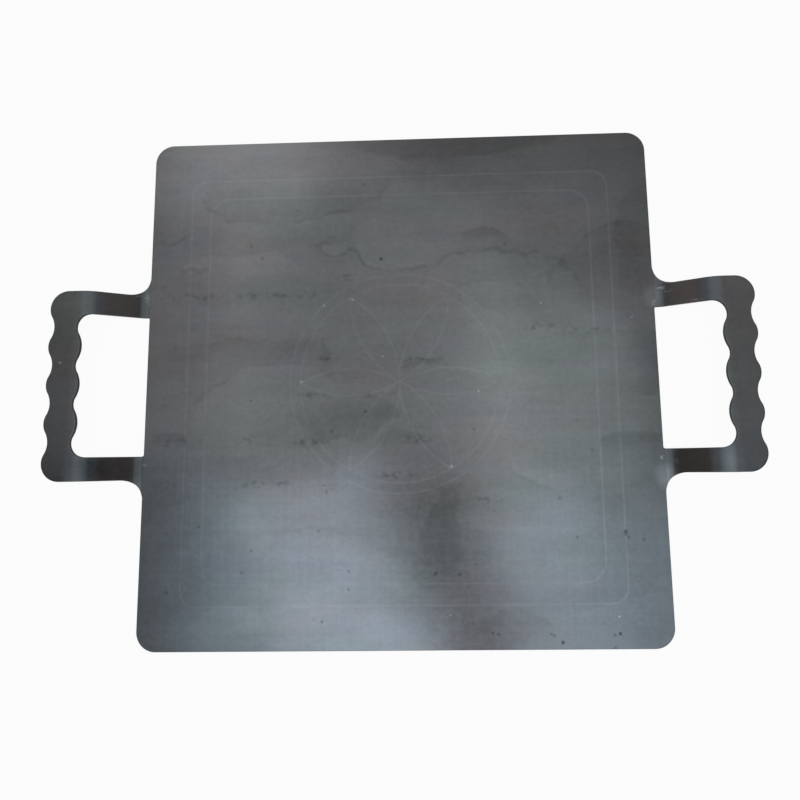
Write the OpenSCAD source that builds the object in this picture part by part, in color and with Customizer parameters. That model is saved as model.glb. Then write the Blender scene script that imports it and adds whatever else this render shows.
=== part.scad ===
// Camp griddle plate: one sheet of hot-rolled steel, cut to outline, engraved with
// a border and a compass-drawn rosette, and folded twice on each side so that the
// scalloped handles stand clear of the fire. The sheet is divided where its folds start
// into the cooking plate, four sloping arms and two grips, which meet face to face.
//
// Millimetres. +X is to the right, +Y to the rear and +Z up. The origin is on the
// underside, at the centre of the plate.

/* [Plate] */
// Side of the square cooking plate
plate_side = 400; // [320:5:600]
// Thickness of the steel sheet
sheet_t = 3; // [2:0.5:5]
// Radius of the plate's four corners
plate_corner_r = 15; // [4:1:30]

/* [Handle outline] */
// Length of the hand opening along the plate's edge
hand_opening = 110; // [95:1:130]
// Width of each arm
arm_w = 18; // [15:1:24]
// Radius between the plate's edge and the outside of each arm
root_fillet_r = 15; // [6:1:25]
// Radius in the corners of the hand opening at the plate's edge
opening_corner_r = 1.5; // [1:0.5:4]
// Radius of the handle's outer corners
handle_corner_r = 14; // [10:1:18]

/* [Bends] */
// Flat left between the plate's edge and the start of the root bend
root_land = 1; // [0.5:0.5:4]
// Inside radius of the root bend
root_bend_r = 12; // [3:1:14]
// Slope of the arms, in degrees
bend_angle = 32; // [22:1:36]
// Inside radius of the bend at the top of the arms
top_bend_r = 20; // [14:1:24]
// Height of the grips above the plate, from underside to underside
rise = 21.5; // [16:0.5:30]
// Straight slope left between the arm's upper end and the start of the top bend
slope_land = 0.5; // [0.5:0.5:3]
// How far the grip's inner swells reach back over the top bend
swell_reach = 2; // [1:0.5:5]

/* [Grip] */
// Width of the grip, halfway between its swells and its finger grooves
grip_w = 21; // [16:1:28]
// Depth of the finger grooves, from swell to groove
groove_depth = 3.8; // [2:0.2:5]
// Finger grooves along each edge of the grip
grooves = 4; // [3:1:5]

/* [Engraving] */
// Distance from the plate's edge to the outer border line
border_margin = 32; // [20:1:60]
// Distance between the two border lines
border_gap = 15.5; // [6:0.5:30]
// Corner radius of the outer border line
border_corner_r = 12.5; // [5:0.5:25]
// Corner radius of the inner border line
inner_border_corner_r = 16; // [5:0.5:25]
// Radius of the rosette and of the circle that holds it
rosette_r = 78; // [50:1:95]
// Distance between the rosette's circle and the outer ring
ring_gap = 8; // [4:0.5:15]
// Width of the engraved line
line_w = 0.6; // [0.4:0.1:1.2]
// Depth of the engraved line
line_depth = 0.15; // [0.1:0.05:0.4]

/* [Hidden] */
$fn = 96;
// How far a cutting shape reaches past what it cuts
overrun = 1;
// A compass steps this many times round a circle of its own radius
petals = 6;
// Swells and grooves of the grip overlap by this factor, so that their arcs cross
arc_overlap = 1.02;

// Bend profile, measured from the start of the root bend
root_centre_z = sheet_t + root_bend_r;
top_centre_z = rise - top_bend_r;
top_outer_r = top_bend_r + sheet_t;
radii_sum = root_bend_r + top_bend_r + sheet_t;
slope_run = (rise - radii_sum * (1 - cos(bend_angle))) / tan(bend_angle);
bend_run = radii_sum * sin(bend_angle) + slope_run;

// Where the sheet changes direction, where each arm starts and passes into the grip, and
// the edges of the grip, along X
plate_edge = plate_side / 2;
arm_start = plate_edge + root_land / 2;
bend_start = plate_edge + root_land;
bend_end = bend_start + bend_run;
arm_end = bend_end - top_outer_r * sin(bend_angle) - slope_land;
swell = groove_depth / 2;
grip_inner = bend_end - swell_reach + swell;
grip_outer = grip_inner + grip_w;
handle_tip = grip_outer + swell;

// Places along Y
opening_half = hand_opening / 2;
handle_half = opening_half + arm_w;
groove_span = 2 * (handle_half - handle_corner_r);
groove_pitch = groove_span / grooves;
groove_ys = [for (k = [0:grooves - 1]) -groove_span / 2 + (k + 0.5) * groove_pitch];
swell_ys = [for (k = [1:grooves - 1]) -groove_span / 2 + k * groove_pitch];
last_groove = groove_ys[grooves - 1];

// Each edge of the grip is a row of arcs, by turns a swell and a groove, and the radii of
// two neighbours add up to the sum at which they would just touch, times the overlap.
// Outer swells share the radius of the handle's corners, and inner grooves the radius
// of the opening's ends
touching_sum = (pow(groove_depth, 2) + pow(groove_pitch / 2, 2)) / (2 * groove_depth);
arc_sum = arc_overlap * touching_sum;
outer_swell_r = handle_corner_r;
outer_groove_r = arc_sum - outer_swell_r;
inner_groove_r = opening_half - last_groove;
inner_swell_r = arc_sum - inner_groove_r;
opening_tip = grip_inner + swell;

// Where the arcs of each edge cross, along X
outer_crossing = handle_tip - outer_swell_r * groove_depth / arc_sum;
inner_crossing = opening_tip - inner_groove_r * groove_depth / arc_sum;

// A square with rounded corners, centred on the origin
module rounded_square(side, r) {
    square([side, side - 2 * r], center = true);
    square([side - 2 * r, side], center = true);
    for (x = [-1, 1], y = [-1, 1])
        translate([x * (side / 2 - r), y * (side / 2 - r)]) circle(r);
}

// A rectangle between two places along X and two along Y
module block(x_from, x_to, y_from, y_to) {
    translate([x_from, y_from]) square([x_to - x_from, y_to - y_from]);
}

// A row of discs whose outermost points lie at tip: facing is 1 for +X and -1 for -X
module disc_row(tip, ys, r, facing) {
    for (y = ys) translate([tip - facing * r, y]) circle(r);
}

// Material that rounds an inside corner at x, y with radius r, open towards x_dir, y_dir
module corner_fill(x, y, r, x_dir, y_dir) {
    difference() {
        block(min(x - x_dir * overrun, x + x_dir * r), max(x - x_dir * overrun, x + x_dir * r),
              min(y - y_dir * overrun, y + y_dir * r), max(y - y_dir * overrun, y + y_dir * r));
        translate([x + x_dir * r, y + y_dir * r]) circle(r);
    }
}

// Outside of the right handle in plan, with the finger grooves along its outer edge
module handle_outside() {
    ends = groove_span / 2;
    difference() {
        union() {
            block(plate_edge - overrun, handle_tip - outer_swell_r, -handle_half, handle_half);
            block(plate_edge - overrun, outer_crossing, -ends, ends);
            disc_row(handle_tip, concat(-ends, swell_ys, ends), outer_swell_r, 1);
        }
        disc_row(handle_tip - groove_depth, groove_ys, outer_groove_r, -1);
    }
}

// The hand opening in plan, with the finger grooves along the inner edge of the grip
module hand_hole() {
    difference() {
        union() {
            block(plate_edge, opening_tip - inner_groove_r, -opening_half, opening_half);
            block(plate_edge, inner_crossing, -last_groove, last_groove);
            disc_row(opening_tip, groove_ys, inner_groove_r, 1);
        }
        disc_row(opening_tip - groove_depth, swell_ys, inner_swell_r, -1);
    }
}

// The right handle in plan, from the plate's edge to its tip
module handle_plan() {
    difference() {
        handle_outside();
        hand_hole();
    }
    for (side = [-1, 1]) {
        corner_fill(plate_edge, side * handle_half, root_fillet_r, 1, side);
        corner_fill(plate_edge, side * opening_half, opening_corner_r, 1, -side);
    }
}

// The part of the right handle's plan that lies between two places along X
module handle_band(x_from, x_to) {
    reach = handle_half + root_fillet_r;
    intersection() {
        handle_plan();
        block(x_from, x_to, -reach, reach);
    }
}

// The side of a bend's centre, up to radius r: a disc at the origin, a block under the
// level stretch to its right and a tipped block under the slope to its left
module bend_core(r, stretch) {
    circle(r);
    translate([0, -stretch]) square([stretch, stretch + r]);
    rotate(bend_angle) translate([-stretch, -stretch]) square([stretch, stretch + r]);
}

// Side view of the sheet round one bend: up the slope, round the bend and on along the level
module bent_sheet(inner_r) {
    stretch = handle_tip - plate_edge;
    difference() {
        bend_core(inner_r + sheet_t, stretch);
        bend_core(inner_r, stretch + overrun);
    }
}

// Side view of the arm: the root bend is the same shape upside down
module arm_profile() {
    translate([bend_start, root_centre_z]) rotate(180) bent_sheet(root_bend_r);
}

module grip_profile() {
    translate([bend_end, top_centre_z]) bent_sheet(top_bend_r);
}

// A piece of the right handle: its side view, drawn out from y_from to the rear and cut to
// the handle's plan between two places along X
module handle_piece(x_from, x_to, y_from) {
    reach = handle_half + root_fillet_r;
    intersection() {
        translate([0, reach, 0]) rotate([90, 0, 0]) linear_extrude(reach - y_from) children();
        translate([0, 0, -overrun])
            linear_extrude(rise + sheet_t + 2 * overrun) handle_band(x_from, x_to);
    }
}

// The engraved lines in plan: two borders, two circles and the petals between them
module line_square(side, r) {
    difference() {
        rounded_square(side + line_w, r + line_w / 2);
        rounded_square(side - line_w, r - line_w / 2);
    }
}

module line_circle(r) {
    difference() {
        circle(r + line_w / 2);
        circle(r - line_w / 2);
    }
}

module engraved_lines() {
    border_side = plate_side - 2 * border_margin;
    line_square(border_side, border_corner_r);
    line_square(border_side - 2 * border_gap, inner_border_corner_r);
    line_circle(rosette_r + ring_gap);
    line_circle(rosette_r);
    for (k = [0:petals - 1]) {
        intersection() {
            rotate(k * 360 / petals) translate([rosette_r, 0]) line_circle(rosette_r);
            circle(rosette_r);
        }
    }
}

// The flat plate with the lands that the arms rise from
module cooking_plate() {
    color("#63676b")
    difference() {
        linear_extrude(sheet_t) {
            rounded_square(plate_side, plate_corner_r);
            for (turn = [0, 180]) rotate(turn) handle_band(plate_edge, arm_start);
        }
        translate([0, 0, sheet_t - line_depth])
            linear_extrude(line_depth + overrun) engraved_lines();
    }
}

// The right rear arm: the root bend and the slope
module arm() {
    color("#4a4d50") handle_piece(arm_start, arm_end, 0) arm_profile();
}

// The right grip: the top bend at both ends, and the level bar between them
module grip() {
    color("#55585b")
    handle_piece(arm_end, handle_tip + overrun, -handle_half - overrun) grip_profile();
}

module right_rear_arm() { arm(); }
module right_front_arm() { mirror([0, 1, 0]) arm(); }
module left_rear_arm() { mirror([1, 0, 0]) arm(); }
module left_front_arm() { rotate(180) arm(); }
module right_grip() { grip(); }
module left_grip() { mirror([1, 0, 0]) grip(); }

cooking_plate();
left_front_arm();
left_rear_arm();
left_grip();
right_front_arm();
right_rear_arm();
right_grip();
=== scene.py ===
# %% [markdown]
# # A camp griddle plate
#
# A camp griddle is one of the plainest cooking tools there is: a square of hot rolled steel with a
# looped handle at each side. Plate and handles are cut as one blank, and a press brake then folds the
# handles up so that fingers stay clear of the fire.
#
# The CAD model already holds the true sizes, as one plate, four bent arms and two scalloped grips. It
# is loaded first and never changed. Everything made below is a finer skin over those seven pieces.

import bmesh
import bpy
import numpy as np
from mathutils import Matrix, Vector
from mathutils.geometry import delaunay_2d_cdt


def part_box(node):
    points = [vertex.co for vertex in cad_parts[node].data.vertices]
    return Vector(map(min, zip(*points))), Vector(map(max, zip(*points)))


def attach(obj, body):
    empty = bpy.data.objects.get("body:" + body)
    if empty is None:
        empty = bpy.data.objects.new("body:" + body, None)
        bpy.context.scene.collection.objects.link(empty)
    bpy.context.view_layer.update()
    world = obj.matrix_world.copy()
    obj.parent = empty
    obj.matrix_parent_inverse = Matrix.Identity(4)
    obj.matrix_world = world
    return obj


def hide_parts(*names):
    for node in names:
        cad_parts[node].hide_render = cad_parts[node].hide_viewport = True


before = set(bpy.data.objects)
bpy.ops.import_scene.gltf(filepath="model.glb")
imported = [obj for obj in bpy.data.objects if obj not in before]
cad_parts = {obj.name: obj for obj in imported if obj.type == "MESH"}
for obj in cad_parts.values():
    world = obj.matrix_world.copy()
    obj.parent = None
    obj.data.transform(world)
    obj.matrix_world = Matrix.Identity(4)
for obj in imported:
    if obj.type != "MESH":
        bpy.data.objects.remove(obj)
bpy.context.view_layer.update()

print("CAD nodes:", sorted(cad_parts))

# %% [markdown]
# ## Sizes
#
# Blender works in metres. What a box can tell is read from the frame, so the new pieces always fit the
# CAD ones: the thickness of the sheet, the edge of the plate, where the handles start, where arms pass
# into grips and how far and how high the handles reach. Radii, angles and the engraving can't be read
# from a box and are named here once. Only the right handle is ever drawn: the left one is its mirror
# image.

# %% Sizes from the frame, and those a box can't give
MM = 0.001

plate_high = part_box("cooking_plate")[1]
grip_low, grip_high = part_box("right_grip")
sheet_t = plate_high.z
plate_edge = plate_high.y
arm_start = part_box("right_rear_arm")[0].x
arm_end = grip_low.x
handle_tip = grip_high.x
handle_half = grip_high.y
rise = grip_high.z - sheet_t

plate_corner_r = 15 * MM
opening_half = 55 * MM
opening_corner_r = 1.5 * MM
root_fillet_r = 15 * MM
root_land = 1 * MM
root_bend_r = 12 * MM
top_bend_r = 20 * MM
bend_angle = np.radians(32)
bend_start = plate_edge + root_land
radii_sum = root_bend_r + top_bend_r + sheet_t
slope_run = (rise - radii_sum * (1 - np.cos(bend_angle))) / np.tan(bend_angle)
bend_end = bend_start + radii_sum * np.sin(bend_angle) + slope_run

handle_corner_r = 14 * MM
grip_w = 21 * MM
groove_depth = 3.8 * MM
grooves = 4
arc_overlap = 1.02

groove_span = 2 * (handle_half - handle_corner_r)
pitch = groove_span / grooves
end_groove_y = (groove_span - pitch) / 2
opening_tip = handle_tip - grip_w
opening_end_r = opening_half - end_groove_y
arc_sum = arc_overlap * (groove_depth**2 + (pitch / 2) ** 2) / (2 * groove_depth)

rim_r = 0.35 * MM
seam_rim_r = 0.01 * MM
print(f"sheet {sheet_t / MM:.2f} mm, handles from {arm_start / MM:.2f} to {handle_tip / MM:.2f} mm")
print(f"grooves every {pitch / MM:.2f} mm, arcs whose radii add up to {arc_sum / MM:.2f} mm")

# %% [markdown]
# ## The bent sheet
#
# Seen from the side, a handle is a flat sheet that turns up in a bend at the plate, climbs at a steady
# slope and lies level again after a wider bend. Both faces of the sheet follow the same two bend
# centres and differ only in their radii, so one function serves for both. A Bend modifier would be
# quicker to click together, but it stretches the sheet, and its radius can't be set exactly.

# %% Height of the sheet's two faces
root_centre_z = sheet_t + root_bend_r
top_centre_z = rise - top_bend_r


def bent_face(x, root_r, top_r):
    """Height of one face of the sheet at a distance x from the plate's middle.

    It is flat up to the root bend, an arc of root_r about a centre above the sheet, a straight slope
    at the bend angle, an arc of top_r about a centre below the sheet, and then flat again.
    """
    root_run = root_r * np.sin(bend_angle)
    top_run = top_r * np.sin(bend_angle)
    past_root = np.clip(x - bend_start, 0, root_run)
    short_of_top = np.clip(bend_end - x, 0, top_run)
    root_arc = root_centre_z - np.sqrt(root_r**2 - past_root**2)
    top_arc = top_centre_z + np.sqrt(top_r**2 - short_of_top**2)
    slope = root_arc + (x - bend_start - root_run) * np.tan(bend_angle)
    return np.where(x < bend_start + root_run, root_arc, np.where(x > bend_end - top_run, top_arc, slope))


def upper_face(x):
    """Height of the side that faces the cook: the root bend's inside and the top bend's outside."""
    return bent_face(np.abs(x), root_bend_r, top_bend_r + sheet_t)


def under_face(x):
    """Height of the side that faces the fire: the root bend's outside and the top bend's inside."""
    return bent_face(np.abs(x), root_bend_r + sheet_t, top_bend_r)


for station in (arm_start, arm_end, bend_end):
    low, high = under_face(station) / MM, upper_face(station) / MM
    print(f"at {station / MM:.1f} mm the sheet lies between {low:.2f} and {high:.2f} mm")

# %% [markdown]
# ## The edges of a handle
#
# From above, the grip's two edges are rows of arcs: round swells on the outside with hollows between
# them for the fingers, and a matching row on the inside. Each arc cuts its neighbour a little instead
# of just touching it. A sine wave would look much the same from afar, but a sheet-metal shop draws
# with arcs, and the end swell then passes into the handle's round corner without a step.

# %% Scalloped edges and arm edges
def scallop(y, crest_r):
    """How far a scalloped edge lies behind its crests, at a place y with a crest at y = 0.

    Round the nearest crest it is an arc of crest_r. From the first point where the two circles cut
    each other it is the hollow's arc, whose radius is what is left of the radii's sum.
    """
    hollow_r = arc_sum - crest_r
    centres_apart = np.hypot(arc_sum - groove_depth, pitch / 2)
    foot = (centres_apart**2 + crest_r**2 - hollow_r**2) / (2 * centres_apart)
    half_chord = np.sqrt(crest_r**2 - foot**2)
    reach = (foot * pitch / 2 - half_chord * (arc_sum - groove_depth)) / centres_apart
    off_crest = np.abs(y - pitch * np.round(y / pitch))
    crest = crest_r - np.sqrt(crest_r**2 - np.minimum(off_crest, reach) ** 2)
    hollow = groove_depth - hollow_r + np.sqrt(hollow_r**2 - (pitch / 2 - off_crest) ** 2)
    return np.where(off_crest < reach, crest, hollow)


def arc(centre, radius, start, end, steps):
    """Points on a circle about centre, from one angle to another in degrees."""
    angle = np.radians(np.linspace(start, end, steps + 1))
    return np.column_stack([centre[0] + radius * np.cos(angle), centre[1] + radius * np.sin(angle)])


def rear_arm_edges():
    """Inner and outer edge of the right rear arm, at the same distances from the plate.

    The inner edge leaves the plate in a tiny round and the outer edge in a wide fillet, and both then
    run straight up the slope.
    """
    small_end = plate_edge + opening_corner_r
    root_end = bend_start + (root_bend_r + sheet_t) * np.sin(bend_angle)
    x = np.concatenate([
        np.linspace(arm_start, small_end, 9)[:-1],
        np.linspace(small_end, root_end, 33)[:-1],
        np.linspace(root_end, arm_end, 31),
    ])
    small = np.clip(small_end - x, 0, opening_corner_r)
    inner_y = opening_half - opening_corner_r + np.sqrt(opening_corner_r**2 - small**2)
    wide = np.clip(plate_edge + root_fillet_r - x, 0, root_fillet_r)
    outer_y = handle_half + root_fillet_r - np.sqrt(root_fillet_r**2 - wide**2)
    return np.column_stack([x, inner_y]), np.column_stack([x, outer_y])


def rear_half_grip_edges():
    """Inner and outer edge of the rear half of the right grip, from the arm to the middle of the grip.

    Over the top bend both edges have the same distances from the plate: the outer edge runs straight,
    and the inner edge follows most of the opening's round end. Round the corner the inner edge goes on
    along what is left of it, while the outer edge turns on the corner's arc. After that both are
    scalloped.
    """
    bend_steps, straight_steps, corner_steps, wave_steps = 48, 12, 40, 110
    end_centre = (opening_tip - opening_end_r, end_groove_y)
    left_over_deg = 25
    turn_x = end_centre[0] + opening_end_r * np.cos(np.radians(left_over_deg))
    bend_x = np.linspace(arm_end, turn_x, bend_steps + 1)[:-1]
    past_centre = np.clip(bend_x - end_centre[0], 0, opening_end_r)
    bend_inner = np.column_stack([bend_x, end_groove_y + np.sqrt(opening_end_r**2 - past_centre**2)])
    bend_outer = np.column_stack([bend_x, np.full(bend_steps, handle_half)])
    end_arc = arc(end_centre, opening_end_r, left_over_deg, 0, corner_steps)
    opening_end = np.vstack([bend_inner, end_arc])
    corner_centre = (handle_tip - handle_corner_r, groove_span / 2)
    straight_x = np.linspace(turn_x, corner_centre[0], straight_steps + 1)[:-1]
    straight_outer = np.column_stack([straight_x, np.full(straight_steps, handle_half)])
    straight = np.vstack([bend_outer, straight_outer])
    corner = arc(corner_centre, handle_corner_r, 90, 0, corner_steps - straight_steps)
    left = np.linspace(1, 0, wave_steps + 1)[1:]
    inner_y = end_groove_y * left
    outer_y = groove_span / 2 * left
    inner_wave = np.column_stack([opening_tip - scallop(inner_y - end_groove_y, opening_end_r), inner_y])
    outer_wave = np.column_stack([handle_tip - scallop(outer_y, handle_corner_r), outer_y])
    return np.vstack([opening_end, inner_wave]), np.vstack([straight, corner, outer_wave])


arm_inner, arm_outer = rear_arm_edges()
grip_inner, grip_outer = rear_half_grip_edges()
print(f"arm of {len(arm_inner)} stations, half a grip of {len(grip_inner)} stations")
print(f"narrowest across the grip: {np.hypot(*(grip_outer - grip_inner).T).min() / MM:.2f} mm")

# %% [markdown]
# ## A strip of sheet with eased edges
#
# Arms and grips are all the same thing: a cut through the sheet, carried along from one end to the
# other. The cut is a rectangle with its four corners eased a little, as a laser-cut edge is once it has
# been deburred, because a perfectly sharp edge catches no light and looks drawn. A Bevel modifier would
# ease the edges as well, but it struggles where the strip is bent and scalloped at once.
#
# The same loop of points is used at every station, so the whole strip is one grid. One attribute,
# `cut_edge`, goes from 0 on the rolled faces to 1 on the cut edges, for the finish to use later.

# %% The section and the way it is carried
RIM_STEPS = 5
ACROSS = np.array([0, 0.03, 0.12, 0.3, 0.5, 0.7, 0.88, 0.97, 1])


def sheet_section():
    """One turn round the cut through the sheet, as four columns.

    They are the share of the way across, the step outwards, the share of the way up and the step
    upwards, where the two steps are counted in rim radii and draw a quarter circle at each corner.
    """
    turn = np.linspace(0, np.pi / 2, RIM_STEPS + 1)
    sine, cosine = np.sin(turn), np.cos(turn)
    flat, corner = np.zeros(len(ACROSS)), np.zeros(RIM_STEPS + 1)
    top = np.column_stack([ACROSS, flat, flat + 1, flat + 1])
    outer_top = np.column_stack([corner + 1, sine, corner + 1, cosine])
    outer_low = np.column_stack([corner + 1, cosine, corner, -sine])
    low = np.column_stack([ACROSS[::-1], flat, flat, flat - 1])
    inner_low = np.column_stack([corner, -sine, corner, -cosine])
    inner_top = np.column_stack([corner, -cosine, corner + 1, sine])
    return np.vstack([top, outer_top[1:], outer_low, low[1:], inner_low[1:], inner_top[:-1]])


def carry_section(inner, outer, rim):
    """Points of the strip, one row for each station, and how far each one is a cut edge.

    At a station the section is laid between the inner and the outer edge and between the sheet's two
    faces. Its corners have the radius that rim gives there.
    """
    share, outwards, level, upwards = sheet_section().T
    step = outer - inner
    width = np.hypot(step[:, 0], step[:, 1])
    along = rim[:, None] * (1 + outwards) + (width - 2 * rim)[:, None] * share
    place = inner[:, None, :] + (step / width[:, None])[:, None, :] * along[:, :, None]
    low = under_face(place[:, :, 0]) + rim[:, None]
    high = upper_face(place[:, :, 0]) - rim[:, None]
    height = low + level * (high - low) + upwards * rim[:, None]
    points = np.concatenate([place, height[:, :, None]], axis=2)
    return points, np.broadcast_to(np.abs(outwards), points.shape[:2])


def grid_faces(rows, columns):
    """Four-sided faces of a grid whose last column joins its first."""
    row = np.arange(rows - 1)[:, None] * columns
    here = np.arange(columns)[None, :]
    beside = (here + 1) % columns
    corners = [row + here, row + beside, row + beside + columns, row + here + columns]
    return np.stack(corners, -1).reshape(-1, 4)


print(f"section of {len(sheet_section())} points with corners of {rim_r / MM:.2f} mm")

# %% [markdown]
# ## From arrays to pieces
#
# A mesh in Blender is a list of points and a list of faces that name them. This helper puts both in,
# stores the attributes that the finish reads, closes the seams by merging points that lie on each
# other, turns all faces outwards and ties the piece to the CAD frame: it rides on the one body that
# there is, and the CAD node it stands for is hidden.

# %% A helper that adds a piece
SAME_POINT = 1e-7
SHARP_ANGLE = np.radians(40)
pieces = {}


def add_piece(node, points, faces, attributes, flat_faces=0):
    """Adds the skin of one CAD node. The first flat_faces faces are shaded flat, the others smooth."""
    mesh = bpy.data.meshes.new(node + "_skin")
    mesh.from_pydata(points.reshape(-1, 3).tolist(), [], faces)
    for name, values in attributes.items():
        mesh.attributes.new(name, "FLOAT", "POINT").data.foreach_set("value", values.ravel())
    mesh.polygons.foreach_set("use_smooth", np.arange(len(faces)) >= flat_faces)
    shell = bmesh.new()
    shell.from_mesh(mesh)
    bmesh.ops.remove_doubles(shell, verts=shell.verts, dist=SAME_POINT)
    bmesh.ops.recalc_face_normals(shell, faces=shell.faces)
    open_edges = sum(len(edge.link_faces) != 2 for edge in shell.edges)
    shell.to_mesh(mesh)
    shell.free()
    # Marking the sharp edges makes every face smooth, so the flat ones are set once more
    smooth = np.zeros(len(mesh.polygons), dtype=bool)
    mesh.polygons.foreach_get("use_smooth", smooth)
    mesh.set_sharp_from_angle(angle=SHARP_ANGLE)
    mesh.polygons.foreach_set("use_smooth", smooth)
    piece = bpy.data.objects.new(node + "_skin", mesh)
    bpy.context.scene.collection.objects.link(piece)
    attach(piece, "root")
    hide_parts(node)
    pieces[node] = piece
    counts = f"{len(mesh.vertices)} points, {len(mesh.polygons)} faces, {open_edges} open edges"
    print(f"{piece.name}: {counts}")


print("pieces so far:", len(pieces))

# %% [markdown]
# ## Arms and grips
#
# Each handle has two arms and a grip, and all of them are strips with a flat end where they pass into
# the next piece. The rear arm and the rear half of the grip of the right handle are the only drawings
# needed: turning the sign of y gives the front ones, and turning the sign of x gives the left handle.
# Mirroring turns a mesh inside out, which is why the helper works out the faces' direction afresh.
#
# The easing fades out next to the plate, because the fold line is not an edge.

# %% Make the handles
def ease_in(amount):
    """A smooth step: 0 below 0, 1 above 1, and level at both ends."""
    share = np.clip(amount, 0, 1)
    return share * share * (3 - 2 * share)


def add_strip(node, inner, outer, rim, mirror):
    """Adds a strip, with a flat face at each end, drawn at the right rear and mirrored to its place."""
    points, cut_edge = carry_section(inner, outer, rim)
    rows, columns = points.shape[:2]
    first_end = list(range(columns))
    last_end = list(range((rows - 1) * columns, rows * columns))
    faces = [first_end, last_end] + grid_faces(rows, columns).tolist()
    add_piece(node, points * np.array([*mirror, 1]), faces, {"cut_edge": cut_edge}, flat_faces=2)


fade = ease_in((arm_inner[:, 0] - arm_start) / root_land)
arm_rim = seam_rim_r + (rim_r - seam_rim_r) * fade
whole_inner = np.vstack([grip_inner, (grip_inner * (1, -1))[-2::-1]])
whole_outer = np.vstack([grip_outer, (grip_outer * (1, -1))[-2::-1]])
grip_rim = np.full(len(whole_inner), rim_r)

for side, facing in (("right", 1), ("left", -1)):
    add_strip(side + "_rear_arm", arm_inner, arm_outer, arm_rim, (facing, 1))
    add_strip(side + "_front_arm", arm_inner, arm_outer, arm_rim, (facing, -1))
    add_strip(side + "_grip", whole_inner, whole_outer, grip_rim, (facing, 1))

# %% [markdown]
# ## The plate's outline
#
# The blank is a square with round corners. Where a handle leaves it, the outline steps half a
# millimetre outwards to the line where the arm starts, between a small round at the hand opening and
# the wide fillet outside. A quarter of the outline is drawn, and the other quarters are its mirror
# images. The plate's edge is then a small profile carried round that outline.

# %% Outline and edge of the plate
def plate_quarter():
    """The outline from the middle of the right side to the middle of the rear side."""
    small_centre = (plate_edge + opening_corner_r, opening_half - opening_corner_r)
    wide_centre = (plate_edge + root_fillet_r, handle_half + root_fillet_r)
    corner_centre = (plate_edge - plate_corner_r, plate_edge - plate_corner_r)
    small_turn = np.degrees(np.arccos((small_centre[0] - arm_start) / opening_corner_r))
    wide_turn = np.degrees(np.arccos((wide_centre[0] - arm_start) / root_fillet_r))
    return np.vstack([
        [(plate_edge, 0)],
        arc(small_centre, opening_corner_r, 180, 180 - small_turn, 10),
        arc(wide_centre, root_fillet_r, 180 + wide_turn, 180, 14),
        arc(corner_centre, plate_corner_r, 0, 90, 24),
    ])


def plate_outline():
    """The whole outline, turning left, as four quarters that share their end points."""
    quarter = plate_quarter()
    rear_left = (quarter * (-1, 1))[::-1]
    half = np.vstack([quarter, [(0, plate_edge)], rear_left])
    return np.vstack([half, (-half)[1:-1]])


def outward(loop):
    """Unit normals of an outline that turns left: the chord between both neighbours, turned right."""
    chord = np.roll(loop, -1, axis=0) - np.roll(loop, 1, axis=0)
    return np.column_stack([chord[:, 1], -chord[:, 0]]) / np.hypot(chord[:, 0], chord[:, 1])[:, None]


outline = plate_outline()
normal = outward(outline)
seam_share = ease_in((arm_start - np.abs(outline[:, 0])) / (arm_start - plate_edge))
plate_rim = seam_rim_r + (rim_r - seam_rim_r) * seam_share
turn = np.linspace(0, np.pi / 2, RIM_STEPS + 1)
step_in = np.concatenate([1 - np.sin(turn), 1 - np.cos(turn)])
upper_rim = sheet_t - np.outer(1 - np.cos(turn), plate_rim)
lower_rim = np.outer(1 - np.sin(turn), plate_rim)
rim_height = np.concatenate([upper_rim, lower_rim])
rim_place = outline[None] - step_in[:, None, None] * (normal * plate_rim[:, None])[None]
rim_points = np.concatenate([rim_place, rim_height[:, :, None]], axis=2)
rim_cut = np.broadcast_to(1 - step_in[:, None], rim_place.shape[:2])
inset = rim_place[0]
outline_size = np.ptp(outline, axis=0) / MM
print(f"outline of {len(outline)} points, {outline_size[0]:.1f} by {outline_size[1]:.1f} mm")

# %% [markdown]
# ## The engraving
#
# A double border with round corners runs round the cooking face, and in its middle is the six-petalled
# compass rosette that anyone can draw with a pair of compasses: six arcs of the circle's own radius,
# about six points on the circle. All lines are engraved by the laser, little more than half a
# millimetre wide and less than a tenth deep, and the heat leaves a faint pale band along both sides.
#
# The lines are cut into the mesh as shallow troughs. A bump texture could only pretend to be a trough,
# and a displaced grid fine enough for such thin lines would need millions of faces. So the face is
# triangulated between the outline and the lines' own edges by Blender's constrained triangulation, and
# the height of every point then comes from its distance to the nearest line.

# %% Engraved lines as distances and as edges
border_half = 168 * MM
border_gap = 15.5 * MM
border_corner_r = 12.5 * MM
inner_border_corner_r = 16 * MM
rosette_r = 78 * MM
ring_r = rosette_r + 8 * MM
petals = 6
line_w = 0.62 * MM
line_floor_w = 0.58 * MM
line_depth = 0.05 * MM
heat_w = 1.1 * MM

borders = ((border_half, border_corner_r), (border_half - border_gap, inner_border_corner_r))
petal_angles = np.arange(petals) * 360 / petals
petal_turns = np.radians(petal_angles)
petal_centres = rosette_r * np.column_stack([np.cos(petal_turns), np.sin(petal_turns)])


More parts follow.
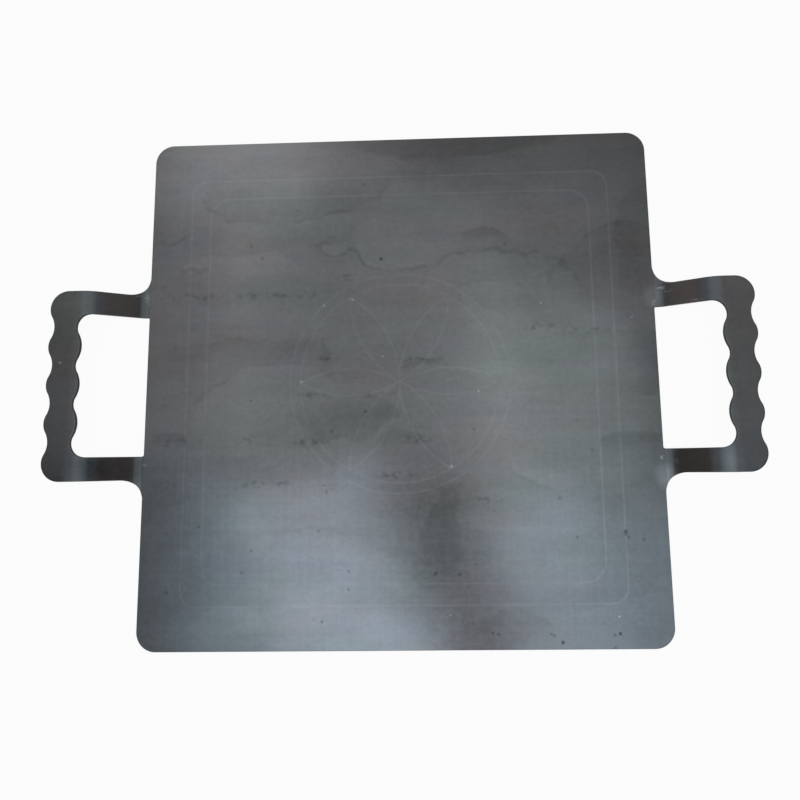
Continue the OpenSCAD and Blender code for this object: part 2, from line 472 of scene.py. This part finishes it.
def line_distance(place):
    """Distance from each point to the nearest engraved line.

    A border is a square with round corners: the distance to a smaller square, less the corner radius.
    A ring is the distance from the middle, less its radius. A petal's arc is the same about its own
    centre, and counts only inside the rosette's circle.
    """
    nearest = np.full(len(place), np.inf)
    for half, corner_r in borders:
        off = np.abs(place) - (half - corner_r)
        beyond = np.hypot(*np.maximum(off, 0).T) + np.minimum(off.max(axis=1), 0)
        nearest = np.minimum(nearest, np.abs(beyond - corner_r))
    from_middle = np.hypot(place[:, 0], place[:, 1])
    for radius in (rosette_r, ring_r):
        nearest = np.minimum(nearest, np.abs(from_middle - radius))
    for centre in petal_centres:
        off_arc = np.abs(np.hypot(*(place - centre).T) - rosette_r)
        nearest = np.where(from_middle <= rosette_r, np.minimum(nearest, off_arc), nearest)
    return nearest


def engraved_edges():
    """Every line that the triangles must respect: the ends of the heat, the edges and the floor's edges.

    Returns a list of pairs, the points of one run and whether its last point joins its first.
    """
    runs = []
    steps = np.array([line_floor_w / 2, line_w / 2, line_w / 2 + heat_w])
    for shift in np.concatenate([-steps, steps]):
        for half, corner_r in borders:
            centre = half - corner_r
            quarters = ((1, 1, 0), (-1, 1, 90), (-1, -1, 180), (1, -1, 270))
            rounds = [
                arc((x * centre, y * centre), corner_r + shift, start, start + 90, 14)
                for x, y, start in quarters
            ]
            runs.append((np.vstack(rounds), True))
        for radius in (rosette_r, ring_r):
            runs.append((arc((0, 0), radius + shift, 0, 360, 180)[:-1], True))
        for angle, centre in zip(petal_angles, petal_centres):
            runs.append((arc(centre, rosette_r + shift, angle + 120, angle + 240, 60), False))
    return runs


print(f"{len(engraved_edges())} runs of edges for the engraving, lines {line_w / MM:.2f} mm wide")

# %% [markdown]
# ## The plate
#
# The plate is closed from three surfaces: the engraved face on top, the edge profile carried round the
# outline, and the plain underside, which shrinks the outline ring by ring towards the middle. Top and
# underside are flat and shaded flat, and only the eased edge is smooth.

# %% Make the plate
INSIDE_ONLY = 1
TOUCHING = 1e-6


def triangulate_face(loop, runs):
    """Triangles, worked out in mm, that fill a closed outline and have every run of points as edges."""
    places, edges, count = [], [], 0
    for run, closed in [(loop, True)] + runs:
        index = count + np.arange(len(run))
        pairs = np.column_stack([index, np.roll(index, -1)])
        edges.extend(pairs.tolist() if closed else pairs[:-1].tolist())
        places.append(run / MM)
        count += len(run)
    flat_points = [Vector(place) for place in np.vstack(places).tolist()]
    found = delaunay_2d_cdt(flat_points, edges, [], INSIDE_ONLY, TOUCHING)
    return np.array([tuple(place) for place in found[0]]) * MM, [list(face) for face in found[2]]


face_place, face_triangles = triangulate_face(inset, engraved_edges())
trough_side = (line_w - line_floor_w) / 2
off_line = line_distance(face_place)
face_etched = np.clip((line_w / 2 - off_line) / trough_side, 0, 1)
face_heated = np.clip(1 - (off_line - line_w / 2) / heat_w, 0, 1)
face_points = np.column_stack([face_place, sheet_t - line_depth * face_etched])

rings = np.linspace(1, 0, 7)
under_place = rings[:, None, None] * inset[None]
under_points = np.concatenate([under_place, np.zeros(under_place.shape[:2] + (1,))], axis=2)

plate_points = np.vstack([face_points, under_points.reshape(-1, 3), rim_points.reshape(-1, 3)])
under_faces = grid_faces(len(rings), len(outline)) + len(face_points)
rim_faces = grid_faces(len(rim_points), len(outline)) + len(plate_points) - rim_cut.size
plate_faces = face_triangles + under_faces.tolist() + rim_faces.tolist()
flat_count = len(face_triangles) + len(under_faces)
not_rim = np.zeros(len(plate_points) - rim_cut.size)
not_face = np.zeros(len(plate_points) - len(face_points))
plate_attributes = {
    "cut_edge": np.concatenate([not_rim, rim_cut.ravel()]),
    "etched": np.concatenate([face_etched, not_face]),
    "heated": np.concatenate([face_heated, not_face]),
}
add_piece("cooking_plate", plate_points, plate_faces, plate_attributes, flat_faces=flat_count)

# %% [markdown]
# ## The finish, and a helper to wire it
#
# Hot rolled steel leaves the mill under a thin skin of dark oxide, the mill scale. It mirrors its
# surroundings like any metal, but weakly and a little blurred, so the finish is a metal with a dark
# colour and a low roughness. What makes it look real is all that has happened to that skin: clouds from
# cooling, streaks from the rollers, tide marks where water dried, specks, scuffs and cut edges.
#
# One finish covers all seven pieces. Its patterns read Object coordinates, and every piece sits at the
# origin of the same frame, so they run on across the seams as they do on one sheet. The nodes could be
# wired by hand in the Shader Editor. Here a small class adds them line by line, and measures in
# millimetres, so that a mark can be put where it lies on the real plate.

# %% A helper that wires a finish
class Finish:
    """A material that is wired node by node. Brightness is a sum of layers, which starts at 1."""

    def __init__(self, name):
        self.material = bpy.data.materials.new(name)
        self.material.use_nodes = True
        self.tree = self.material.node_tree
        self.tree.nodes.clear()
        self.tone = 1.0

    def feed(self, socket, value):
        """Puts a plain value into a socket, or links another socket to it."""
        if isinstance(value, bpy.types.NodeSocket):
            self.tree.links.new(value, socket)
        elif value is not None:
            socket.default_value = value

    def add(self, kind, *feeds, **settings):
        """A new node with its settings, and with feeds for its inputs in their order."""
        node = self.tree.nodes.new("ShaderNode" + kind)
        for name, value in settings.items():
            setattr(node, name, value)
        for socket, value in zip(node.inputs, feeds):
            self.feed(socket, value)
        return node

    def maths(self, operation, *feeds):
        return self.add("Math", *feeds, operation=operation).outputs[0]

    def times(self, first, second):
        return self.maths("MULTIPLY", first, second)

    def lay(self, layer, amount, base):
        """A base with so much of a layer laid over it: layer x amount + base."""
        return self.maths("MULTIPLY_ADD", layer, amount, base)

    def vector(self, operation, *feeds):
        """Vector arithmetic. A length, a distance or a dot product comes back as a number."""
        outputs = self.add("VectorMath", *feeds, operation=operation).outputs
        return outputs["Value" if operation in ("LENGTH", "DISTANCE", "DOT_PRODUCT") else "Vector"]

    def ramp(self, value, low, high):
        """A smooth step from 0 at low to 1 at high, where low may be the greater one."""
        return self.add("MapRange", value, low, high, interpolation_type="SMOOTHSTEP").outputs[0]

    def blend(self, share, first, second):
        """A colour between two: the first at a share of 0 and the second at 1."""
        node = self.add("Mix", share, data_type="RGBA")
        self.feed(node.inputs[6], first)
        self.feed(node.inputs[7], second)
        return node.outputs[2]

    def add_tone(self, layer, amount):
        self.tone = self.lay(layer, amount, self.tone)


print("ready to wire a finish")

# %% [markdown]
# ## Skin of the rolled sheet
#
# Noise is the stuff that natural surfaces are made of. Stretched along X it becomes the streaks that
# the rollers leave, stretched along Y the faint runs that water leaves, and left as it is it becomes
# clouds and a fine mottle. A noise texture gives values round a half, so each is turned into a swing
# round nought before it counts. Two very wide noises also drift the colour a little between green, plum
# and blue, as thin oxide does, and the front corners are colder than the rest.

# %% Clouds, streaks and mottle
steel = Finish("mill_scale_steel")
place = steel.vector("SCALE", steel.add("TexCoord").outputs["Object"], None, None, 1 / MM)
across, along, above = steel.add("SeparateXYZ", place).outputs
top_mm = sheet_t / MM


def noise(size, seed, detail=2.0, roughness=0.5):
    """A noise whose patches have that size in millimetres along X, Y and Z."""
    spot = steel.vector("MULTIPLY_ADD", place, [1 / length for length in size], (seed, seed, seed))
    return steel.add("TexNoise", spot, None, 1, detail, roughness).outputs


def swing(size, seed, detail=2.0, roughness=0.5):
    """The same noise as a swing from about -1 to 1."""
    return steel.lay(noise(size, seed, detail, roughness)[0], 2, -1)


front_half = steel.ramp(along, 30, -120)
runs_share = steel.lay(front_half, 0.02, 0.04)
steel.add_tone(swing((130, 60, 60), 3, 3), 0.10)
steel.add_tone(swing((38, 20, 30), 7, 3), 0.12)
steel.add_tone(swing((150, 6, 9), 11, 4), 0.08)
steel.add_tone(swing((3, 90, 40), 5, 3), runs_share)
mottle = swing((4.5, 3.4, 4), 23, 4, 0.72)
steel.add_tone(mottle, 0.20)

green_scale = (0.146, 0.158, 0.158, 1)
plum_scale = (0.155, 0.154, 0.159, 1)
blue_scale = (0.149, 0.155, 0.165, 1)
skin = steel.blend(steel.ramp(noise((110, 55, 50), 31)[0], 0.40, 0.62), green_scale, plum_scale)
skin = steel.blend(steel.ramp(noise((70, 40, 50), 47)[0], 0.45, 0.70), skin, blue_scale)
from_middle = steel.maths("ABSOLUTE", across)
cold_scale = (0.141, 0.156, 0.165, 1)
front_corners = steel.times(front_half, steel.ramp(from_middle, 70, 190))
skin = steel.blend(front_corners, skin, cold_scale)
print(f"rolled skin of {len(steel.tree.nodes)} nodes")

# %% [markdown]
# ## Tide marks, and one painted reflection
#
# Where a puddle dried on the sheet it left a patch that is a little lighter or darker, with a thin dark
# line along its shore. Each one starts as an ellipse: a Mapping node moves its middle to the origin,
# turns it and shrinks it to a circle of radius 1, so that the distance from the origin tells inside
# from outside. The coordinates are pushed about by noise first, which makes the shore wander, and most
# shores show on one side only, because the water drew back from there last. A few wider ellipses turn
# the skin greener. Painting an image would give the same marks, but only at one resolution.

# %% Puddles that dried, and one painted reflection
wide_drift = steel.vector("MULTIPLY_ADD", noise((42, 30, 60), 61)[1], (34, 24, 0), (-17, -12, 0))
small_drift = steel.vector("MULTIPLY_ADD", noise((9, 7, 60), 67, 4)[1], (9, 7, 0), (-4.5, -3.5, 0))
wandering = steel.vector("ADD", steel.vector("ADD", place, wide_drift), small_drift)
# More millimetres than anything here measures
far = 1000


def in_circle(spot, middle, half, turn=0):
    """Coordinates in which an ellipse is the circle of radius 1 about the origin."""
    mapping = steel.add("Mapping", spot, (*middle, 0), (0, 0, np.radians(turn)), (*half, far))
    mapping.vector_type = "TEXTURE"
    return mapping.outputs[0]


def reach(spot, middle, half, turn=0):
    """Distance from an ellipse's middle, as a share of the way to its edge."""
    return steel.vector("LENGTH", in_circle(spot, middle, half, turn))


# Middle, half length and width in mm, turn in degrees, change inside, change along the shore, and the
# side of the shore that shows, in degrees from +X
tide_marks_and_painted_reflection = (
    ((5, 113), (44, 20), 0, 0.09, -0.17, 215),
    ((-85, 163), (78, 32), 0, -0.05, -0.17, 270),
    ((78, 72), (66, 35), 0, 0.07, -0.20, 80),
    ((170, 88), (48, 34), 15, -0.07, -0.15, 110),
    ((-105, -18), (60, 31), 8, 0.09, -0.11, 115),
    ((-126, 23), (62, 11), 2, -0.11, -0.04, 90),
    ((0, 36), (34, 15), 0, 0.06, 0, 90),
    ((-125, 92), (50, 15), 0, 0.10, 0, 90),
    ((0, -45), (17, 8), 0, -0.13, 0, 90),
    ((-178, -46), (16, 9), 0, -0.12, 0, 90),
    ((76, 64), (24, 14), 10, 0.08, -0.06, 100),
    ((70, 154), (30, 13), -5, -0.08, -0.05, 90),
    ((68, 118), (19, 8), 0, -0.18, 0, 90),
    ((52, 203), (84, 19), 0, -0.13, -0.08, 270),
    ((177, -49), (28, 9), 0, -0.13, 0, 90),
    ((-44, -23), (42, 20), 0, -0.15, -0.04, 300),
    ((14, 15), (17, 6), 10, -0.14, 0, 90),
    ((-58, 16), (4, 18), 0, -0.13, 0, 90),
    ((192, 110), (20, 48), 0, -0.10, 0, 180),
    ((-183, 125), (15, 12), 0, 0.03, -0.22, 270),
    ((-52, 109), (11, 7), 0, 0.02, -0.24, 180),
    ((-52, 109), (11, 7), 0, 0.02, -0.24, 0),
    ((110, -70), (30, 14), -20, 0.05, -0.07, 250),
    ((-150, -120), (50, 34), 10, 0.05, -0.05, 80),
    ((-60, -140), (60, 30), -8, 0.04, -0.05, 100),
    ((130, -150), (60, 24), 5, -0.05, -0.06, 260),
    # Painted reflection: an upright dark band near the front, without a shore, where a dark reflection
    # lies on the plate
    ((30, -122), (15, 46), -8, -0.11, 0, 90),
    ((192, 12), (24, 28), 0, -0.15, 0, 0),
    ((84, -184), (24, 14), 0, -0.10, 0, 90),
    ((-130, -182), (26, 16), 0, 0.08, 0, 90),
    ((33, -186), (14, 14), 0, 0.10, 0, 90),
)
shore_w = 2.2
marks = 0.0
shores = 0.0
for middle, half, turn_deg, inside_change, shore_change, side in tide_marks_and_painted_reflection:
    circle = in_circle(wandering, middle, half, turn_deg)
    out = steel.vector("LENGTH", circle)
    side_turn = np.radians(side - turn_deg)
    towards = steel.vector("DOT_PRODUCT", circle, (np.cos(side_turn), np.sin(side_turn), 0))
    inside = steel.times(steel.ramp(out, 1.06, 0.90), steel.ramp(towards, -0.9, 0.4))
    marks = steel.lay(inside, inside_change, marks)
    if shore_change:
        off_shore = steel.maths("ABSOLUTE", steel.maths("SUBTRACT", out, 1))
        shore = steel.ramp(off_shore, shore_w / min(half), 0)
        shore = steel.times(shore, steel.ramp(towards, -0.3, 0.5))
        shores = steel.lay(shore, shore_change, shores)
broken = steel.ramp(noise((22, 15, 40), 71, 3)[0], 0.34, 0.62)
marks = steel.lay(shores, broken, marks)

# Middle, half length and width in mm of patches where the skin turned greener
green_patches = (((-75, -30), (95, 35)), ((45, 150), (60, 22)), ((95, 70), (60, 45)))
for middle, half in green_patches:
    greener = steel.ramp(reach(wandering, middle, half), 1.15, 0.75)
    skin = steel.blend(steel.times(greener, 0.8), skin, green_scale)
print(f"{len(tide_marks_and_painted_reflection)} tide marks, {len(steel.tree.nodes)} nodes so far")

# %% [markdown]
# ## Specks and spots
#
# The rollers also press flakes of scale into the sheet. They lie in short rows along the rolling
# direction, so a row is a flat ellipse that lets a fine noise through only where it is high. Larger
# spots stand alone, and the nearest of a list of points decides where they are. A few bright nicks are
# made in the same way.

# %% Flakes pressed in by the rollers
# Where a row starts and ends along X, and its place along Y, in mm
speck_rows = (
    (-177, -155, 92), (-191, -144, 71), (-128, -111, 71), (-105, -91, 71), (-84, -65, 71),
    (-46, -36, 85), (87, 130, 41), (128, 172, 37), (-84, -53, -10), (-25, -6, -10), (0, 26, 17),
    (-195, -153, -45), (-125, -108, -44), (-80, -62, -46), (0, 25, -45), (-192, -176, -77),
    (-125, -104, -77), (-96, -88, -77), (-17, 11, -72), (48, 75, -92), (-64, -52, 20), (-60, -50, -80),
)
row_half = 3.5
rows = 0.0
for start, end, y in speck_rows:
    row_size = ((end - start) / 2 + row_half, row_half)
    near = steel.ramp(reach(place, ((start + end) / 2, y), row_size), 1.3, 0.3)
    rows = steel.maths("MAXIMUM", near, rows)
flakes = steel.ramp(noise((4.6, 3.4, 4), 83, 3, 0.6)[0], 0.42, 0.66)
marks = steel.lay(steel.times(rows, flakes), -0.31, marks)

# Single spots, where they lie on the plate in mm
fine_spots = (
    (-110, 102), (-28, 162), (-119, 112), (-117, -13), (-27, -23), (-53, -38), (-63, -113),
    (-114, -127), (-40, -143), (-60, -179), (-178, -157), (-121, -143), (120, -91), (168, -118),
    (132, -120), (67, -188), (110, -189), (181, -122), (156, -190), (26, -145), (43, -146),
    (57, -38), (85, 109), (-155, -109), (-40, -156), (-57, -84), (71, -189), (112, -190),
    (170, -120), (25, -146), (44, -146), (156, -199),
)
bold_spots = ((-14, 99), (118, -195), (168, -116), (160, -189))
nicks = ((112, 60), (182, 47), (160, -177), (61, -9), (-13, 20), (36, -175))


def nearest(spots):
    """Distance to the nearest of a list of points on the plate's face."""
    distance = far
    for x, y in spots:
        distance = steel.maths("MINIMUM", steel.vector("DISTANCE", place, (x, y, top_mm)), distance)
    return distance


marks = steel.lay(steel.ramp(nearest(fine_spots), 1.7, 0.4), -0.34, marks)
marks = steel.lay(steel.ramp(nearest(bold_spots), 1.9, 0.6), -0.60, marks)
marks = steel.lay(steel.ramp(nearest(nicks), 1.1, 0.2), 0.80, marks)
upper_side = steel.ramp(above, top_mm * 0.4, top_mm * 0.6)
steel.add_tone(marks, upper_side)
steel.add_tone(steel.ramp(noise((3.6, 2.8, 3), 97, 2)[0], 0.66, 0.80), -0.26)
print(f"{len(speck_rows)} rows of flakes, {len(fine_spots) + len(bold_spots)} spots")

# %% [markdown]
# ## Engraved lines, scuffs and cut edges
#
# The laser burns the scale off where it engraves, so the lines are paler than the skin, and more so in
# some places than in others, with a few painted highlights as glints. The mesh knows where they are: the
# attribute `etched` is 1 on the floor of a line, and `heated` fades from 1 to 0 beside it. Where the
# press brake gripped the sheet, the scale is scuffed to bright metal beside the folds. On the folds it is
# duller, and painted reflection tints, teal on the bends and brown on the slopes, with painted highlights
# and shade on single folds, stand for how the folds catch the light.
#
# The attribute `cut_edge` marks the edges. Cutting leaves them under a dark, dull oxide with fine
# upright lines, and handling wears their eased corners bright again.

# %% Engraving, scuffs and edges
etched = steel.add("Attribute", attribute_name="etched").outputs["Fac"]
heated = steel.add("Attribute", attribute_name="heated").outputs["Fac"]
cut_edge = steel.add("Attribute", attribute_name="cut_edge").outputs["Fac"]

burn = steel.lay(steel.ramp(noise((24, 24, 20), 101, 3)[0], 0.30, 0.65), 0.32, 0.57)
burn = steel.lay(steel.ramp(across, 100, 150), 0.45, burn)
burn = steel.lay(steel.ramp(along, 110, 150), 0.25, burn)
off_front = steel.ramp(reach(place, (0, -148), (170, 14)), 0.6, 1.2)
burn = steel.times(burn, steel.lay(off_front, 0.4, 0.6))
steel.add_tone(steel.times(etched, burn), 0.10)
steel.add_tone(steel.times(heated, burn), 0.10)
# Painted highlights: a few glints on the engraved lines
glints = ((-60, 62), (-53, 54), (-37, 66), (-77, 1), (39, -66))
engraved = steel.maths("MAXIMUM", etched, heated)
steel.add_tone(steel.times(steel.ramp(nearest(glints), 1.8, 0.3), engraved), 0.65)

# Middle, half length and width in mm of each scuffed patch beside a fold
scuffs = (
    ((-208.5, 72.6), (3, 1)), ((-202.5, 70.5), (2, 3)), ((-201, 67), (1.4, 2.6)),
    ((-198.8, -61), (2.4, 1.8)), ((206.5, 69.5), (4, 1.4)), ((209.8, 66.5), (3.2, 1.2)),
    ((199.6, 58.5), (1.8, 2.8)), ((228, 56.5), (4, 1)), ((198.8, -61.8), (2.2, 1.8)),
    ((208.3, -64.5), (1.3, 2.2)), ((-258, 17), (1.2, 1.2)), ((209.5, 73.5), (4, 1.5)),
)
scuffed = 0.0
for middle, half in scuffs:
    scuffed = steel.maths("MAXIMUM", steel.ramp(reach(place, middle, half), 1.3, 0.3), scuffed)
scratches = steel.ramp(noise((2.6, 0.9, 2), 107, 3)[0], 0.42, 0.66)
steel.add_tone(steel.times(scuffed, scratches), 1.7)

fold_from, fold_to = bend_start / MM, bend_end / MM
# The straight slope begins and ends this far inside the folds
slope_from, slope_to = fold_from + 7, fold_to - 16
past_plate = steel.ramp(from_middle, fold_from - 2, fold_from + 3)
folded = steel.times(past_plate, steel.ramp(from_middle, fold_to + 1, fold_to - 6))
blurred = steel.times(past_plate, steel.ramp(from_middle, fold_to + 8, fold_to - 2))
sloping = steel.ramp(from_middle, slope_from - 4, slope_from + 4)
sloping = steel.times(sloping, steel.ramp(from_middle, slope_to + 4, slope_to - 4))
# Painted reflection: the folds are tinted teal on the bends and brown on the slopes, the colours their
# reflections take
painted_bend_teal = (0.138, 0.153, 0.160, 1)
painted_slope_brown = (0.160, 0.151, 0.151, 1)
skin = steel.blend(folded, skin, steel.blend(sloping, painted_bend_teal, painted_slope_brown))
level = steel.maths("SUBTRACT", 1, sloping)
# Painted shade: the bends are made a little darker, where their reflection should be dimmer
steel.add_tone(steel.times(folded, level), -0.08)
# Middle, half length and width in mm, and change in tone, of painted highlights and shade on single folds
# and a grip
painted_fold_light = (
    ((-233, -64), (12, 16), -0.40), ((-222, -64), (14, 14), -0.10), ((-205, -64), (6, 14), -0.36),
    ((-205, 64), (6, 14), -0.10), ((242, -64), (5, 12), 0.25), ((200, -75), (8, 10), 0.60),
    ((198.5, 63), (8, 10), 0.30), ((204, -64), (6, 12), -0.14),
    ((-256, 65), (14, 12), 0.14),
)
for middle, half, change in painted_fold_light:
    steel.add_tone(steel.ramp(reach(place, middle, half), 1.3, 0.2), change)

cut = steel.ramp(cut_edge, 0.45, 0.85)
corner_line = steel.ramp(steel.maths("ABSOLUTE", steel.maths("SUBTRACT", cut_edge, 0.3)), 0.3, 0.0)
wear = steel.times(corner_line, steel.ramp(noise((9, 9, 9), 113, 3)[0], 0.45, 0.70))
steel.add_tone(wear, 0.3)
upright_lines = swing((0.7, 0.7, 9), 127, 2)
edge_tone = steel.lay(upright_lines, 0.35, 1)
edge_oxide = steel.vector("SCALE", (0.066, 0.064, 0.066), None, None, edge_tone)
skin = steel.vector("SCALE", skin, None, None, steel.tone)
colour = steel.blend(cut, skin, edge_oxide)
print(f"{len(scuffs)} scuffs, {len(steel.tree.nodes)} nodes so far")

# %% [markdown]
# ## Shine
#
# Roughness says how far a reflection is blurred. The scale is smoothest on the open sheet, a little
# duller in the clouds and on the engraved lines, and much duller on the folds and the cut edges. A very
# shallow bump does the rest: the sheet is not quite flat, its skin has a fine grain, and the cut edges
# are lined. Bump only tilts the shading, and that is enough here, because none of this would show in the
# outline.

# %% Roughness, bump and the shader
dull = steel.lay(swing((55, 24, 30), 131, 3), 0.03, 0.175)
dull = steel.lay(mottle, 0.03, dull)
dull = steel.lay(steel.times(blurred, level), 0.24, dull)
dull = steel.lay(etched, 0.03, dull)
dull = steel.lay(cut, 0.30, dull)

relief = steel.times(swing((75, 50, 60), 137, 1), 0.20)
relief = steel.lay(swing((1.4, 1.0, 1.2), 139, 2), 0.004, relief)
relief = steel.lay(steel.times(upright_lines, cut), 0.03, relief)
bump = steel.add("Bump", 1.0, MM)
steel.feed(bump.inputs["Height"], relief)

shader = steel.add("BsdfPrincipled", colour, 1.0, dull)
steel.feed(shader.inputs["Normal"], bump.outputs[0])
steel.add("OutputMaterial", shader.outputs[0])
for piece in pieces.values():
    piece.data.materials.append(steel.material)
print(f"finish of {len(steel.tree.nodes)} nodes on {len(pieces)} pieces")

# %% [markdown]
# ## Floor and backdrop
#
# The plate lies on pale paper that runs up into a round wall behind it, without a corner. Its surface is
# a profile carried round a circle: level floor, a quarter circle and an upright wall.
#
# The paper should look white, but more light to make it white would flatten the steel. So most of the
# paper's brightness is its own, and only for rays from the camera or from a mirror-like surface. The
# rest is an ordinary matt surface, which keeps the shadow under the handles.

# %% Make the floor
floor_r = 2.6
cove_r = 0.6
wall_top = 1.5
below_plate = 0.1 * MM
middle_r = 0.02

round_turn = np.linspace(0, 2 * np.pi, 97)[:-1]
cove = np.linspace(0, np.pi / 2, 13)
profile_r = np.concatenate([[middle_r, 0.5, 1.2], floor_r - cove_r + cove_r * np.sin(cove), [floor_r]])
profile_z = np.concatenate([[0, 0, 0], cove_r * (1 - np.cos(cove)), [wall_top]]) - below_plate
floor_points = np.stack([
    profile_r[:, None] * np.cos(round_turn),
    profile_r[:, None] * np.sin(round_turn),
    np.broadcast_to(profile_z[:, None], (len(profile_r), len(round_turn))),
], -1)
floor_faces = [list(range(len(round_turn)))] + grid_faces(len(profile_r), len(round_turn)).tolist()
floor_mesh = bpy.data.meshes.new("floor")
floor_mesh.from_pydata(floor_points.reshape(-1, 3).tolist(), [], floor_faces)
floor_mesh.shade_smooth()
floor = bpy.data.objects.new("floor", floor_mesh)
bpy.context.scene.collection.objects.link(floor)

own_share = 0.95
paper = Finish("backdrop_paper")
rays = paper.add("LightPath").outputs
seen = paper.maths("MAXIMUM", rays["Is Camera Ray"], rays["Is Glossy Ray"])
seen = paper.maths("MAXIMUM", seen, rays["Is Transmission Ray"])
matt = paper.add("BsdfDiffuse", (0.85, 0.85, 0.85, 1)).outputs[0]
own = paper.add("Emission", (1, 1, 1, 1), 1.0).outputs[0]
sheet = paper.add("MixShader", paper.times(seen, own_share), matt, own).outputs[0]
paper.add("OutputMaterial", sheet)
floor_mesh.materials.append(paper.material)
print(f"floor of {len(floor_faces)} faces, {own_share:.0%} of its brightness its own")

# %% [markdown]
# ## Light
#
# A dark mirror shows its lamps more than its own colour, so the lamps are what the plate reflects: level
# soft boxes overhead, one wide pale ceiling and smaller boxes below it that brighten one region each.
# The front boxes are lower, brighter and cooler. The narrow leaning space between them is what draws the
# soft dark shadow up from the plate's front edge. The level grips look at dimmer boxes further out, and
# the sloping arms look past nearly all of them into the darker room.
#
# Brightness is given as the value that a perfect mirror would show, and the lamp's power follows from its
# area: power = brightness x pi x area. Boxes that overlap hang a little apart in height, because of two
# lamps in exactly the same place only one would show.

# %% Soft boxes and the room
def soft_box(name, low, high, height, brightness, colour, turn):
    """A level rectangular lamp between two corners, shining down, turned by so many degrees."""
    lamp = bpy.data.lights.new(name, "AREA")
    lamp.shape = "RECTANGLE"
    lamp.size = high[0] - low[0]
    lamp.size_y = high[1] - low[1]
    lamp.energy = brightness * np.pi * lamp.size * lamp.size_y
    lamp.color = colour
    holder = bpy.data.objects.new(name, lamp)
    holder.location = ((low[0] + high[0]) / 2, (low[1] + high[1]) / 2, height)
    holder.rotation_euler.z = np.radians(turn)
    bpy.context.scene.collection.objects.link(holder)
    print(f"{name}: {lamp.size:.2f} by {lamp.size_y:.2f} m, {lamp.energy:.1f} W")


cool = (0.77, 0.885, 1)
deep_cool = (0.64, 0.84, 1)
pale_green = (0.90, 1, 0.98)
warm = (1, 0.94, 0.93)
white = (1, 1, 1)
sky = (0.97, 0.98, 1)
ceiling_z = 3.2
rear_z = 3.0
front_z = 2.0
apart = 0.05
# Name, low and high corner in metres, height, brightness, colour and turn in degrees
boxes = (
    ("ceiling_box", (-1.88, -1.90), (1.40, 2.40), ceiling_z, 0.32, sky, 0),
    ("left_grip_box", (-2.40, -0.06), (-1.88, 1.60), ceiling_z, 0.27, white, 0),
    ("right_grip_box", (1.40, -0.20), (1.98, 1.60), ceiling_z, 0.38, white, 0),
    ("far_left_box", (-3.10, 0.45), (-2.45, 1.70), ceiling_z, 0.34, warm, 0),
    ("far_front_box", (-3.10, -0.60), (-2.45, 0.45), ceiling_z, 0.06, warm, 0),
    ("far_right_box", (1.98, 0.50), (2.60, 1.40), ceiling_z, 0.13, white, 0),
    ("rear_left_box", (-1.55, 1.30), (-0.70, 2.40), rear_z, 0.98, white, 0),
    ("rear_middle_box", (-0.75, 1.35), (-0.20, 1.75), rear_z - apart, 0.47, white, 0),
    ("left_edge_box", (-1.65, -0.05), (-0.95, 1.25), rear_z, 0.28, white, 0),
    ("left_box", (-1.15, -0.30), (-0.25, 1.30), rear_z - apart, 0.37, white, 0),
    ("middle_box", (-0.25, -0.10), (0.40, 1.45), rear_z, 0.39, white, 0),
    ("right_box", (0.15, -0.35), (1.05, 0.70), rear_z - apart, 0.72, pale_green, 0),
    ("rear_right_box", (0.40, 0.70), (1.05, 1.55), rear_z, 0.21, white, 0),
    ("front_left_box", (-0.60, -1.40), (-0.05, -0.10), front_z, 1.47, cool, 17.5),
    ("front_low_box", (-0.80, -1.25), (-0.10, -0.50), front_z - apart, 0.50, cool, 22.5),
    ("front_side_box", (-0.90, -0.95), (-0.70, -0.45), front_z + apart, 0.38, deep_cool, 0),
    ("front_corner_box", (-1.00, -0.70), (-0.75, -0.10), front_z + 2 * apart, 0.47, deep_cool, 0),
    ("front_middle_box", (-0.15, -1.25), (0.15, -0.65), front_z + apart, 1.06, cool, 30),
    ("front_right_box", (0.25, -1.10), (0.65, -0.20), front_z, 1.44, cool, 17.5),
    ("front_far_right_box", (0.65, -1.20), (1.25, -0.20), front_z, 0.74, cool, 30),
)
for box in boxes:
    soft_box(*box)

room_grey = (0.13, 0.12, 0.118, 1)
world = bpy.data.worlds.new("room")
world.use_nodes = True
world.node_tree.nodes["Background"].inputs["Color"].default_value = room_grey
bpy.context.scene.world = world

# %% [markdown]
# ## Camera
#
# The photograph was taken by someone who stood over the plate and leaned in a little from the front, with
# a wide lens held slightly askew. The place, the view direction and the lens were worked out from the
# plate's four corners and from how far the raised grips are pushed outwards. The small shift frames the
# plate a little above the middle of the picture, as the photograph does.

# %% Place the camera
camera_place = Vector((0.0360, -0.0614, 0.5269))
view_axis = Vector((-0.0313, 0.1417, -0.9894)).normalized()
roughly_up = Vector((0.0199, 0.9898, 0.1412))
picture_right = view_axis.cross(roughly_up).normalized()
picture_up = picture_right.cross(view_axis)
lens = bpy.data.cameras.new("camera")
lens.lens = 30.5
lens.sensor_width = 36
lens.shift_x = -0.0305
lens.shift_y = -0.0455
lens.clip_start = 0.01
camera = bpy.data.objects.new("camera", lens)
turned = Matrix((picture_right, picture_up, -view_axis)).transposed().to_4x4()
camera.matrix_world = Matrix.Translation(camera_place) @ turned
bpy.context.scene.collection.objects.link(camera)
bpy.context.scene.camera = camera
bpy.context.scene.view_settings.view_transform = "Standard"
print(f"camera {camera_place.z:.3f} m above the floor, lens {lens.lens} mm")
